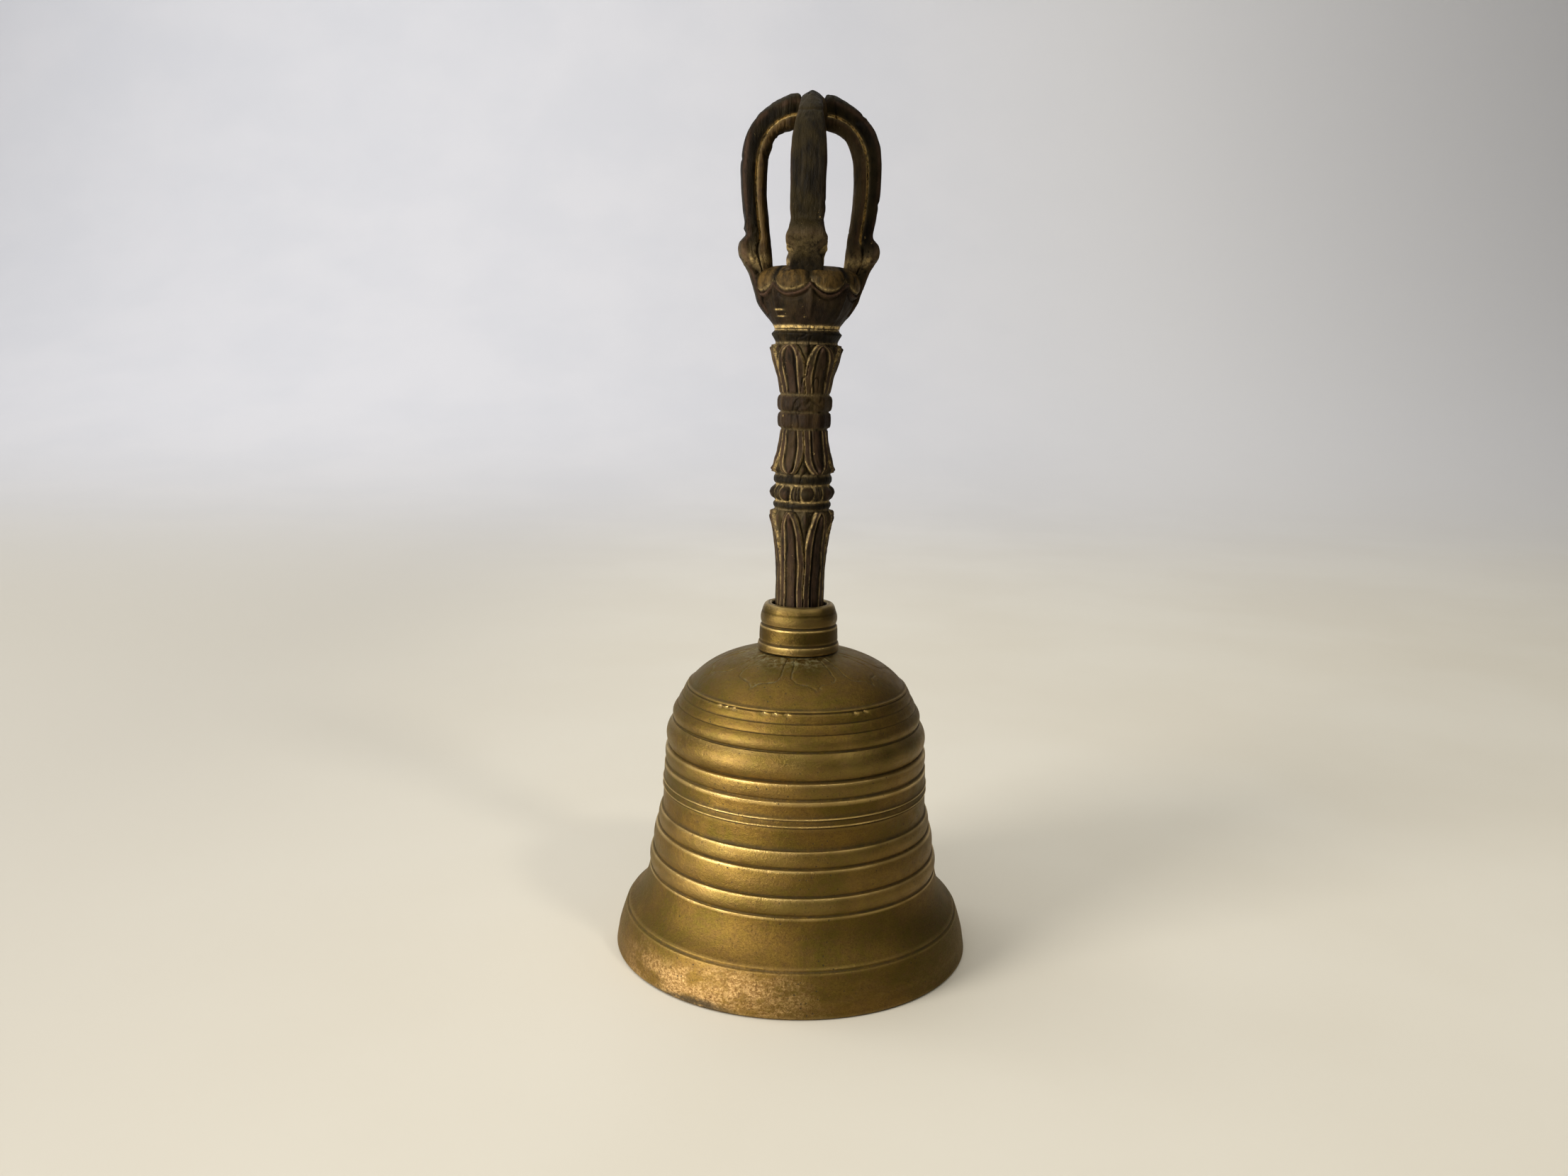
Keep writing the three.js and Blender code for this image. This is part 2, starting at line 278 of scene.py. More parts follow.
def wood_material(name, gilding=1.0):
    """Carved wood under old dark lacquer, rubbed brown on the ridges, gilding left in the hollows."""
    black, umber, olive = (0.006, 0.0042, 0.0018), (0.021, 0.0145, 0.0055), (0.036, 0.026, 0.008)
    red_brown, tan = (0.088, 0.050, 0.030), (0.125, 0.078, 0.024)
    dusty_gold, gold = (0.38, 0.285, 0.14), (0.72, 0.53, 0.22)
    n = Nodes(name)
    grain = n.noise((1.6, 1.6, 0.12), 5, 0.7, 0.3)
    colour = n.mix(n.ramp(grain, 0.35, 0.68), black, umber)
    colour = n.mix(n.times(n.patches((0.16, 0.16, 0.1), 4, 0.6, 0.45, 0.65), 0.75), colour, olive)
    rubbed = n.times(n.mask("worn"), n.patches((0.5, 0.5, 0.2), 4, 0.7, 0.3, 0.6))
    colour = n.mix(n.times(rubbed, 0.8), colour, red_brown)
    bare = n.times(n.mask("bare"), n.patches((0.7, 0.7, 0.3), 5, 0.7, 0.3, 0.62))
    colour = n.mix(n.times(bare, 0.9), colour, tan)
    hollow = n.times(n.mask("gilt"), gilding)
    dusty = n.times(hollow, n.patches((0.9, 0.9, 0.5), 5, 0.75, 0.34, 0.56), clamp=True)
    colour = n.mix(n.times(dusty, 0.9), colour, dusty_gold)
    leaf = n.times(n.ramp(hollow, 0.3, 0.8), n.patches((1.3, 1.3, 0.9), 4, 0.8, 0.46, 0.56))
    leaf = n.most(leaf, n.patches((0.55, 0.55, 0.35), 6, 0.78, 0.66, 0.74, 0.5))
    colour = n.mix(leaf, colour, gold)
    n.shader_input("Base Color", colour)
    n.shader_input("Metallic", n.times(leaf, 0.5))
    rough = n.blend(n.patches((0.8, 0.8, 0.3), 4, 0.7, 0.3, 0.7), 0.38, 0.6)
    n.shader_input("Roughness", n.blend(dusty, rough, 0.62))
    n.shader.inputs["Specular IOR Level"].default_value = 0.14
    normal = n.bump(grain, 0.22)
    normal = n.bump(n.noise((1.6, 1.6, 0.9), 5, 0.78), 0.16, normal)
    n.shader_input("Normal", normal)
    return n.material


def iron_material(name):
    """Dark forged iron with matt rust in patches."""
    black_iron, rust = (0.055, 0.045, 0.038), (0.13, 0.065, 0.03)
    n = Nodes(name)
    patch = n.noise((0.4, 0.4, 0.4), 5, 0.7)
    n.shader_input("Base Color", n.mix(n.ramp(patch, 0.4, 0.62), black_iron, rust))
    n.shader_input("Metallic", n.ramp(patch, 0.66, 0.4))
    n.shader_input("Roughness", n.blend(n.ramp(patch, 0.35, 0.65), 0.42, 0.8))
    n.shader_input("Normal", n.bump(n.noise((1.2, 1.2, 1.2), 5, 0.75), 0.12))
    return n.material


def stage_material():
    """Warm pale paint on the floor and cool pale paint on the wall, faintly uneven, with painted shade on
    the floor's left and painted light on the wall's right.
    """
    n = Nodes("stage_paint")
    soft = n.patches((0.008, 0.008, 0.008), 3, 0.5, 0.3, 0.7)
    floor = n.mix(soft, (0.70, 0.655, 0.55), (0.73, 0.69, 0.59))
    # Painted shade: the floor darkens towards the left, to tone down the key light there.
    floor = n.mix(n.ramp(n.along("X"), 0, -240), floor, (0.57, 0.54, 0.47))
    wall = n.mix(soft, (0.70, 0.70, 0.72), (0.73, 0.725, 0.74))
    # Painted light: the wall brightens towards the right.
    wall = n.mix(n.ramp(n.along("X"), 0, 500), wall, (0.80, 0.79, 0.78))
    n.shader_input("Base Color", n.mix(n.ramp(n.along("Y"), 250, 1150), floor, wall))
    n.shader_input("Roughness", 0.75)
    return n.material


# ---- Mesh building ----


def smooth_step(low, high, value):
    """0 at low and beyond it, 1 at high and beyond it, with a smooth step between."""
    t = np.clip((value - low) / (high - low), 0, 1)
    return t * t * (3 - 2 * t)


def hill(distance, reach):
    """1 at no distance, fading smoothly to about 0 at twice the reach."""
    return np.exp(-((distance / reach) ** 2))


def value_noise(points, cell, seed):
    """Smooth noise from -1 to 1 at the points, with features about one cell across."""
    scaled = points / np.asarray(cell, float)
    low = np.floor(scaled).astype(np.int64)
    part = scaled - low
    part = part * part * (3 - 2 * part)
    total = np.zeros(points.shape[:-1])
    for corner in np.ndindex(2, 2, 2):
        lattice = low + np.array(corner)
        code = (lattice[..., 0] * 73856093) ^ (lattice[..., 1] * 19349663)
        code = (code ^ (lattice[..., 2] * 83492791) ^ (seed * 974634777)) & 0xFFFFFFFF
        code = ((code ^ (code >> 13)) * 1274126177) & 0xFFFFFFFF
        value = ((code ^ (code >> 16)) & 0xFFFF) / 32767.5 - 1
        weight = np.prod(np.where(corner, part, 1 - part), axis=-1)
        total += value * weight
    return total


def curve_through(points, count):
    """Points at even steps along a smooth curve through the given ones."""
    points = np.asarray(points, float)
    padded = np.vstack([2 * points[0] - points[1], points, 2 * points[-1] - points[-2]])
    fine = []
    for i in range(1, len(padded) - 2):
        a, b, c, d = padded[i - 1 : i + 3]
        for t in np.linspace(0, 1, 24, endpoint=False):
            fine.append(
                0.5 * (2 * b + (c - a) * t + (2 * a - 5 * b + 4 * c - d) * t**2
                       + (3 * b - a - 3 * c + d) * t**3)
            )
    fine.append(points[-1])
    return even_steps(np.array(fine), count)


def even_steps(points, count):
    """The polyline resampled at even steps along its length."""
    steps = np.linalg.norm(np.diff(points, axis=0), axis=1)
    along = np.concatenate([[0], np.cumsum(steps)])
    wanted = np.linspace(0, along[-1], count)
    return np.stack([np.interp(wanted, along, points[:, k]) for k in range(points.shape[1])], 1)


def outward(points_of_rings):
    """Unit normals of a grid of rings, from its neighbours."""
    along = np.gradient(points_of_rings, axis=0)
    around = (np.roll(points_of_rings, -1, 1) - np.roll(points_of_rings, 1, 1)) / 2
    normal = np.cross(around, along)
    length = np.linalg.norm(normal, axis=2, keepdims=True)
    return normal / np.maximum(length, 1e-9)


def strip_faces(first, second, count_a, count_b):
    """Faces between two rings. The second may have twice as many points as the first, or half."""
    i = np.arange(count_a)
    j = (i + 1) % count_a
    if count_a == count_b:
        return [np.stack([first + i, first + j, second + j, second + i], 1).tolist()]
    if count_b == 2 * count_a:
        near, middle, far = second + 2 * i, second + 2 * i + 1, second + (2 * i + 2) % count_b
        return [
            np.stack([first + i, middle, near], 1).tolist(),
            np.stack([first + i, first + j, middle], 1).tolist(),
            np.stack([first + j, far, middle], 1).tolist(),
        ]
    flipped = strip_faces(second, first, count_b, count_a)
    return [[face[::-1] for face in faces] for faces in flipped]


def ring_mesh(name, rings, masks, closed):
    """A mesh from rings of points in mm, listed so that the outside faces out. If closed, the last
    ring meets the first, and otherwise both ends are capped. Masks hold one value for each point."""
    starts = np.cumsum([0] + [len(ring) for ring in rings])
    points = np.vstack(rings)
    faces = []
    pairs = list(zip(range(len(rings) - 1), range(1, len(rings))))
    if closed:
        pairs.append((len(rings) - 1, 0))
    for a, b in pairs:
        for found in strip_faces(int(starts[a]), int(starts[b]), len(rings[a]), len(rings[b])):
            faces += found
    values = {key: np.concatenate(rows) for key, rows in masks.items()}
    if not closed:
        total = len(points)
        points = np.vstack([points, rings[0].mean(0), rings[-1].mean(0)])
        count = len(rings[0])
        faces += [[total, (i + 1) % count, i] for i in range(count)]
        last, count = int(starts[-2]), len(rings[-1])
        faces += [[total + 1, last + i, last + (i + 1) % count] for i in range(count)]
        values = {key: np.append(v, [v[0], v[-1]]) for key, v in values.items()}
    mesh = bpy.data.meshes.new(name)
    mesh.from_pydata(points * MM, [], faces)
    mesh.polygons.foreach_set("use_smooth", np.ones(len(mesh.polygons), bool))
    for key, v in values.items():
        layer = mesh.attributes.new(key, "FLOAT", "POINT")
        layer.data.foreach_set("value", np.clip(v, 0, 1).astype(np.float32))
    mesh.update()
    piece = bpy.data.objects.new(name, mesh)
    bpy.context.scene.collection.objects.link(piece)
    return piece


def empty_masks(*names):
    return {name: [] for name in names}


def place_piece(piece, material, body, slot, *nodes):
    piece.data.materials.append(material)
    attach(piece, body)
    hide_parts(*nodes)


def turned_rings(profile, counts):
    """Rings of points about Z from [radius, height] rows. Counts is one number, or one for each."""
    rings = []
    for (radius, height), count in zip(profile, np.broadcast_to(counts, len(profile))):
        angle = np.arange(count) * TAU / count
        rings.append(
            np.stack([radius * np.cos(angle), radius * np.sin(angle), np.full(count, height)], 1)
        )
    return rings


def polar(rings):
    """The direction and the radius of each ring's points, about Z."""
    return [np.arctan2(r[:, 1], r[:, 0]) for r in rings], [np.hypot(r[:, 0], r[:, 1]) for r in rings]


def swell_ring(ring, change, radius):
    """Moves a ring's points out from Z by the change, in mm."""
    ring[:, :2] *= (1 + change / radius)[:, None]


# ---- Bell ----

MOUTH_RADIUS, _, CROWN_HEIGHT = box_mm("bell_shell")[1]
LIP_THICKNESS = 3.4
HOLE_RADIUS = 2.3
BODY_POINTS = 320
DOME_FOOT = 59.35
SHARP_TURN = math.radians(20)
PETALS_ON_DOME = 9
DOME_PETAL_TURN = math.radians(-90 + 11)


def bowed(start, end, swell, steps=10):
    """Points from start to end, bowed outwards. It leaves out the start."""
    rows = []
    for i in range(1, steps + 1):
        t = i / steps
        bow = swell * math.sin(math.pi * t) ** 0.8
        rows.append([start[0] + (end[0] - start[0]) * t + bow, start[1] + (end[1] - start[1]) * t])
    return rows


def bent(start, corner, end, steps=12):
    """Points on a curve that leaves start towards the corner and reaches end from it."""
    rows = []
    for i in range(1, steps + 1):
        t = i / steps
        a, b, c = (1 - t) ** 2, 2 * t * (1 - t), t * t
        rows.append([a * start[k] + b * corner[k] + c * end[k] for k in (0, 1)])
    return rows


# Each band starts, at its upper side, with a crisp edge that stands out past the band above.
# Rows are the edge's radius and height, the band's lower end, and its swell.
BANDS = [
    ((31.4, 22.0), (31.5, 18.55), 0.35),
    ((30.4, 27.5), (30.8, 22.35), 0.35),
    ((29.5, 31.2), (29.75, 27.85), 0.3),
    ((28.45, 45.0), (28.25, 41.8), 0.25),
    ((27.15, 50.95), (27.6, 45.4), 1.0),
    ((26.2, 54.35), (26.75, 51.3), 0.55),
    ((25.2, 56.3), (26.0, 54.6), 0.1),
    ((24.25, 58.25), (24.95, 56.55), 0.08),
]
RIBS = [36.4, 37.9]
# A rib's shape, as change of radius and of height up the wall.
RIB_SHAPE = [(0, -0.5), (-0.1, -0.28), (-0.08, -0.2), (0.24, -0.1), (0.25, 0.0), (0.02, 0.26), (0, 0.45)]


def bell_profile():
    """[radius, height] rows up the outside and back down the inside, and each row's dirt and wear."""
    outside = [[38.6, 0.0], [MOUTH_RADIUS, 0.35], [38.85, 1.4], [38.5, 3.6]]
    outside += bowed((38.5, 3.6), (37.05, 8.35), 0.06, 6)
    outside += [[36.9, 8.75], [36.62, 8.9], [36.45, 9.15], [36.42, 9.45], [36.25, 9.65]]
    outside += bent((36.25, 9.65), (32.5, 12.4), (31.75, 18.1), 20)
    outside += [[31.5, 18.3]]
    for i, (edge, foot, swell) in enumerate(BANDS):
        if i == 3:
            outside += [[29.0, 31.55]]
            for rib in RIBS:
                wall = 29.0 - (rib - 31.5) * 0.03
                outside += [[wall + shift, rib + rise] for shift, rise in RIB_SHAPE]
            outside += [[28.72, 41.3], [28.45, 41.5]]
        outside += [list(foot)]
        outside += bowed(foot, edge, swell, 12)
        outside += [[edge[0] - 0.06, edge[1] + 0.1], [edge[0] - 0.3, edge[1] + 0.2]]
    outside += [[23.85, 58.55], [24.0, 58.7], [23.85, 58.95], [23.5, 59.05], [23.35, 59.15]]
    outside += bent((23.2, DOME_FOOT), (19.0, 64.6), (9.0, CROWN_HEIGHT), 24)
    outside += [[HOLE_RADIUS, CROWN_HEIGHT]]
    ceiling = CROWN_HEIGHT - 2.7
    inside = [[HOLE_RADIUS, ceiling], [9, ceiling - 0.3]]
    inside += bent((9, ceiling - 0.3), (23.6, 61.6), (24.3, 50), 14)
    inside += [[26.2, 32], [28.3, 19.5]]
    inside += bent((28.3, 19.5), (29.8, 12.4), (33.9, 8), 8)
    inside += [[MOUTH_RADIUS - LIP_THICKNESS, 0.5], [MOUTH_RADIUS - LIP_THICKNESS + 0.5, 0.0]]
    return outside, inside


def crisp(rows, reach):
    """The same rows with one more close on each side of every sharp corner, which keeps it sharp."""
    kept = [rows[0]]
    for before, corner, after in zip(rows[:-2], rows[1:-1], rows[2:]):
        turn = math.atan2(after[1] - corner[1], after[0] - corner[0])
        turn -= math.atan2(corner[1] - before[1], corner[0] - before[0])
        turn = abs((turn + math.pi) % TAU - math.pi)
        near = []
        for other in (before, after):
            gap = math.dist(corner, other)
            share = min(0.35, reach / max(gap, 1e-6))
            near.append([corner[k] + (other[k] - corner[k]) * share for k in (0, 1)])
        kept += [near[0], list(corner), near[1]] if turn > SHARP_TURN else [list(corner)]
    return kept + [rows[-1]]


def fill_in(rows, longest):
    """The same rows with extra ones between any two that are further apart than longest."""
    filled = [rows[0]]
    for a, b in zip(rows[:-1], rows[1:]):
        pieces = max(1, math.ceil(math.dist(a, b) / longest))
        filled += [[a[k] + (b[k] - a[k]) * i / pieces for k in (0, 1)] for i in range(1, pieces + 1)]
    return filled


def edge_masks(profile, reach):
    """How hollow and how sharp a profile is at each row, from 0 to 1, seen over a reach in mm."""
    points = np.array(profile)
    steps = np.linalg.norm(np.diff(points, axis=0), axis=1)
    along = np.concatenate([[0], np.cumsum(steps)])
    before = np.stack([np.interp(along - reach, along, points[:, k]) for k in (0, 1)], 1)
    after = np.stack([np.interp(along + reach, along, points[:, k]) for k in (0, 1)], 1)
    middle = (before + after) / 2
    run = after - before
    side = np.stack([run[:, 1], -run[:, 0]], 1)
    side /= np.maximum(np.linalg.norm(side, axis=1, keepdims=True), 1e-9)
    bulge = ((points - middle) * side).sum(1) / reach
    return np.clip(-bulge * 3.2, 0, 1), np.clip(bulge * 3.2, 0, 1)


# Half of an engraved petal's outline on the dome, as [half width, radius] rows from the collar.
DOME_PETAL = [
    (2.6, 9.2), (3.2, 12.0), (4.1, 15.0), (4.45, 16.6), (4.4, 17.5), (4.0, 18.2), (3.2, 18.55),
    (2.3, 18.65), (1.5, 18.9), (0.85, 19.35), (0.25, 19.9), (0.0, 20.4),
]


def dome_engraving(angle, radius):
    """How deep the engraved lotus outline is cut, from 0 to 1, at places on the dome."""
    pitch = TAU / PETALS_ON_DOME
    turn = (angle - DOME_PETAL_TURN + pitch / 2) % pitch - pitch / 2
    half = curve_through(DOME_PETAL, 110)
    line = np.vstack([half, half * [-1, 1], [(x, 18.9 + 0.9 * x) for x in (0.3, 0.6, 0.9)]])
    gap = np.hypot(turn[:, None] * radius[:, None] - line[:, 0], radius[:, None] - line[:, 1])
    return hill(gap.min(axis=1), 0.15)


# Nicks in the edge under the dome, as [direction in degrees, size] rows, and that edge's place.
NICKS = [
    (-131, 0.35), (-127, 0.3), (-122.5, 0.4), (-106.5, 0.5), (-101, 0.38), (-95, 0.3),
    (-61, 0.33), (-55, 0.33),
]
NICK_RADIUS = 24.2
NICK_HEIGHT = 58.25
# Directions of the copper-coloured front of the lip, and of the dark stain on its edge.
COPPER_TURN = math.radians(-119)
STAIN_TURN = math.radians(-122)


def nicks(angle, height):
    """How deep the edge under the dome is nicked, from 0 to 1."""
    up = height - NICK_HEIGHT
    sizes = [hill((angle - math.radians(at)) * NICK_RADIUS + 0.7 * up, size) for at, size in NICKS]
    return sum(sizes) * hill(up, 0.28)


def lip_stain(angle, height, cell):
    """Dark grime on the front of the lip's edge."""
    return hill((angle - STAIN_TURN) * 38, 8) * (1 - smooth_step(0.5, 1.7, height + 0.8 * cell))


def make_bell():
    outside, inside = bell_profile()
    outside = fill_in(crisp(outside, 0.09), 0.75)
    foot = next(i for i, row in enumerate(outside) if row[1] >= DOME_FOOT - 0.001)
    top = next(i for i, row in enumerate(outside) if row[1] >= CROWN_HEIGHT - 0.001)
    dome = fill_in(outside[foot:top], 0.24)
    outside = outside[:foot] + dome + outside[top:]
    profile = outside + fill_in(inside, 2.2)
    dome_rows = range(foot, foot + len(dome))
    hollow, sharp = edge_masks(profile, 0.45)
    counts = [2 * BODY_POINTS if i in dome_rows else BODY_POINTS for i in range(len(profile))]
    rings = turned_rings(profile, counts)
    angles, radii = polar(rings)
    masks = empty_masks("dirt_and_shade", "worn", "lip", "crust")
    for i, ring in enumerate(rings):
        is_outside = i < len(outside)
        height = ring[:, 2]
        cell = value_noise(ring, (9, 9, 9), 3)
        nick = nicks(angles[i], height)
        cut = np.zeros(len(ring))
        if i in dome_rows:
            wander = 0.02 * value_noise(ring, (1.2, 1.2, 1.2), 6)
            cut = dome_engraving(angles[i] + wander, radii[i] * (1 + 0.6 * wander))
        if is_outside:
            dents = 0.035 * value_noise(ring, (16, 16, 30), 5) - 0.65 * nick
            swell_ring(ring, dents, np.maximum(radii[i], 5))
            height -= 0.16 * cut
        patchy = 0.5 + 0.5 * value_noise(ring, (3.5, 3.5, 3.5), 8)
        dirt_and_shade = np.clip(hollow[i] * (0.55 + 0.45 * patchy) + 0.35 * cut, 0, 1)
        # Painted shadow: a dark line round the foot of the lip, where it stands on the floor, added to the
        # grime mask.
        edge = 0.6 * (1 - smooth_step(0.1, 0.6, height)) * is_outside
        masks["dirt_and_shade"].append(dirt_and_shade + 1.5 * (lip_stain(angles[i], height, cell) + edge))
        wear = sharp[i] * (0.35 + 0.65 * patchy) * (1 - 0.8 * smooth_step(50, 54, height))
        wear = wear * (1 - 0.75 * (1 - smooth_step(15, 17, height)))
        masks["worn"].append((wear + nick) * is_outside)
        front = 0.12 + 0.88 * smooth_step(0.72, 0.99, np.cos(angles[i] - COPPER_TURN))
        masks["lip"].append((1 - smooth_step(4.5, 9.5, height + 1.5 * cell)) * front * is_outside)
        dusty = (1 - smooth_step(9.3, 15.5, radii[i] + 2.2 * cell)) * (height > 60)
        masks["crust"].append(np.maximum(dusty, 0.85 * cut) * is_outside)
    piece = ring_mesh("bell_body", rings, masks, closed=True)
    place_piece(piece, brass_material("old_brass"), "bell", "cast_brass", "bell_shell")


# ---- Collar ----

COLLAR_FOOT, COLLAR_TOP = [corner.z for corner in box_mm("collar")]
SHAFT_POINTS = 256
SOCKET_RADIUS = 5.9
SOCKET_FLOOR = 69.0


def make_collar():
    rows = [[HOLE_RADIUS, COLLAR_FOOT], [8.6, COLLAR_FOOT], [8.78, COLLAR_FOOT + 0.2]]
    rows += bowed((8.78, COLLAR_FOOT + 0.2), (8.72, 68.25), 0.1, 6)
    rows += [[8.55, 68.42], [8.42, 68.5], [8.45, 68.75], [8.5, 69.0]]
    rows += bowed((8.5, 69.0), (8.38, 71.9), 0.05, 8)
    rows += [[8.2, 72.08], [8.02, 72.2], [8.0, 72.4], [8.15, 72.6]]
    rows += bowed((8.15, 72.6), (8.05, 75.0), 0.22, 8)
    rows += bent((8.05, 75.0), (7.75, 76.7), (6.8, COLLAR_TOP), 8)
    rows += [[SOCKET_RADIUS + 0.25, COLLAR_TOP], [SOCKET_RADIUS, COLLAR_TOP - 0.25]]
    rows += [[SOCKET_RADIUS, SOCKET_FLOOR], [HOLE_RADIUS, SOCKET_FLOOR]]
    rows = fill_in(crisp(rows, 0.08), 0.35)
    hollow, sharp = edge_masks(rows, 0.35)
    rings = turned_rings(rows, SHAFT_POINTS)
    angles, radii = polar(rings)
    masks = empty_masks("dirt_and_shade", "worn", "lip", "crust")
    for i, ring in enumerate(rings):
        height = ring[:, 2]
        outer = radii[i] > SOCKET_RADIUS + 0.1
        file_marks = value_noise(ring, (1.1, 1.1, 5), 21) * hill(height - 69.2, 0.6)
        dents = value_noise(ring, (2.4, 2.4, 1.8), 22)
        flats = 0.07 * np.cos(10 * angles[i]) * smooth_step(74.0, 76.0, height)
        swell_ring(ring, (0.05 * dents + 0.06 * file_marks - flats) * outer, radii[i])
        patchy = 0.5 + 0.5 * value_noise(ring, (2.5, 2.5, 2.5), 23)
        masks["dirt_and_shade"].append(hollow[i] * (0.5 + 0.5 * patchy) + 0.7 * ~outer)
        masks["worn"].append(sharp[i] * (0.4 + 0.6 * patchy))
        masks["lip"].append(np.zeros(len(ring)))
        masks["crust"].append(hill(height - COLLAR_TOP, 0.8) * smooth_step(7.2, 6.2, radii[i]) * 0.8)
    piece = ring_mesh("socket_collar", rings, masks, closed=True)
    place_piece(piece, brass_material("collar_brass", 0.58), "bell", "cast_brass", "collar")


# ---- Handle shaft ----

HANDLE_FOOT = box_mm("handle_shaft")[0].z
CUP_FOOT = box_mm("vajra_cup")[0].z
HANDLE_TOP = CUP_FOOT - 0.3
LOTUS_PETALS = 6
BOSSES = 8

# Plain outline of the shaft before carving, as [height, radius] rows.
SHAFT_OUTLINE = [
    (HANDLE_FOOT, 4.95), (77, 5.0), (84, 5.05), (86.9, 5.25), (88.7, 5.45), (90.5, 5.7), (92.4, 5.95),
    (94.2, 6.3), (96.1, 6.42), (96.9, 6.2), (97.35, 5.75), (97.6, 5.9), (98.0, 6.15), (98.6, 6.15),
    (98.9, 5.9), (99.1, 5.6), (99.35, 5.85), (99.9, 6.4), (100.8, 6.65), (101.6, 6.45), (102.25, 5.9),
    (102.6, 5.6), (102.9, 5.9), (103.3, 6.12), (104.1, 6.12), (104.5, 5.9), (104.75, 5.75), (105.1, 6.1),
    (106, 6.35), (107.5, 6.1), (109.3, 5.6), (111.5, 5.1), (114.1, 4.78), (114.4, 4.95), (114.7, 5.4),
    (115.5, 5.55), (116.6, 5.55), (117.4, 5.4), (117.75, 5.0), (117.9, 5.0), (118.2, 5.45), (119, 5.68),
    (120.3, 5.68), (121, 5.5), (121.35, 5.1), (122.2, 5.2), (123.1, 5.38), (124.9, 5.68), (126.6, 6.25),
    (128.4, 6.85), (130.0, 7.2), (130.9, 7.1), (131.6, 6.65), (131.95, 6.45), (132.4, 6.6), (133.1, 7.0),
    (133.7, 7.38), (133.95, 7.3), (134.2, 6.95), (134.55, 6.75), (HANDLE_TOP, 6.8),
]
# The lotuses on the shaft, as [height of the petals' feet, of their tips, a petal's direction] rows.
LOTUSES = [
    (76.0, 97.0, math.radians(-53)), (114.3, 105.0, math.radians(-60)), (121.4, 131.6, math.radians(-60)),
]
BOSS_BAND = (99.2, 102.5)
PLAIN_BANDS = [(114.5, 117.7), (118.0, 121.2)]
# Gilded grooves round the shaft, as [height, strength of the gilding] rows.
GILT_GROOVES = [
    (97.4, 0.6), (99.1, 1.0), (102.6, 1.0), (104.7, 0.6), (114.3, 0.4), (117.8, 0.35),
    (121.4, 0.5), (131.9, 0.7), (134.7, 1.0),
]


def rounded(across):
    """The height of a half circle of radius 1, at places across it."""
    return np.sqrt(np.clip(1 - across**2, 0, 1))


def lotus(angle, t, turn):
    """Carving depth of a lotus, in mm, and how much gilding lies there. t runs from 0 at the petals'
    feet to 1 at their tips. Broad petals have ribbed edges, and as many more show behind them."""
    pitch = TAU / LOTUS_PETALS
    off = np.abs((angle - turn + pitch / 2) % pitch - pitch / 2) / (pitch / 2)
    arch = np.sqrt(np.clip(1 - np.clip((t - 0.42) / 0.6, 0, 1) ** 1.8, 0, 1))
    half = 0.04 + 0.92 * arch
    inner = half - 0.42 * (1 - 0.45 * smooth_step(0.5, 1, t))
    edge_line = hill(off - inner, 0.055)
    rim = hill(off - half, 0.06)
    body = np.where(off < inner, 0.28 * rounded(off / np.maximum(inner, 0.03)), 0)
    roll = (off >= inner) & (off < half)
    middle = (inner + half) / 2
    width = np.maximum(half - inner, 0.05) / 2
    body = np.where(roll, 0.3 * rounded((off - middle) / width), body)
    behind = 1 - off
    back_half = 0.3 * smooth_step(0.55, 0.75, t) * (1 - 0.6 * smooth_step(0.85, 1, t))
    back = 0.22 * np.clip(1 - (behind / np.maximum(back_half, 0.02)) ** 2, 0, 1) * (off > half)
    knob = 0.6 * hill(behind, 0.14) * hill(t - 0.92, 0.08)
    tip = 0.5 * hill(off, 0.17) * hill(t - 0.95, 0.07)
    beside = hill(off - inner + 0.13, 0.07) + hill(off - half - 0.12, 0.07)
    depth = 0.8 * body + back + knob + tip + 0.24 * edge_line + 0.22 * rim
    depth = depth - 0.34 * beside - 0.42 * (off > half)
    gilt = np.clip(0.85 * edge_line + 0.8 * rim + 0.3 * (off > half) - 0.5 * knob, 0, 1)
    return depth, gilt


def bosses(angle, height):
    """A band of eight oval bosses with a pair of small upright ribs between each two."""
    pitch = TAU / BOSSES
    off = ((angle + math.radians(90 - 10) + pitch / 2) % pitch - pitch / 2) * 6.6
    up = height - 100.85
    oval = np.sqrt(np.clip(1 - (off / 1.45) ** 2 - (up / 1.75) ** 2, 0, 1)) * 0.62
    rib = sum(hill(np.abs(off) - at, 0.22) for at in (1.95, 2.55)) * 0.36 * (np.abs(up) < 1.9)
    depth = np.maximum(oval, rib) - 0.25
    return depth, np.clip(1 - depth * 3 - 0.9, 0, 1)


def carve_shaft(ring, angle):
    """Carving depth, gilding and wear for one ring of the shaft."""
    height = ring[:, 2]
    z = height[0]
    depth, gilt, ridge = np.zeros((3, len(ring)))
    wobble = 0.07 * value_noise(ring, (3, 3, 5), 31)
    for foot, tip, turn in LOTUSES:
        if min(foot, tip) <= z <= max(foot, tip):
            t = (height - foot) / (tip - foot)
            depth, gilt = lotus(angle + wobble, t + 0.3 * wobble, turn)
            fade = 1 if foot == LOTUSES[0][0] else smooth_step(0, 0.06, t)
            depth, gilt = depth * fade, gilt * (0.6 + 0.4 * fade)
            ridge = depth * 2.4
    low, high = BOSS_BAND
    if low <= z <= high:
        depth, gilt = bosses(angle + wobble, height)
        depth = depth * smooth_step(low, low + 0.5, z) * smooth_step(high, high - 0.5, z)
        ridge = depth * 2.2
    if any(low < z < high for low, high in PLAIN_BANDS):
        depth = 0.13 * np.cos(8 * angle + 0.7 + value_noise(ring, (3, 3, 30), 33))
        depth = depth - 0.3 * hill(value_noise(ring, (2.2, 2.2, 9), 34), 0.03)
        ridge = np.full(len(ring), 0.35)
    for groove, strength in GILT_GROOVES:
        gilt = np.maximum(gilt, strength * hill(height - groove, 0.32))
    return depth, gilt, ridge


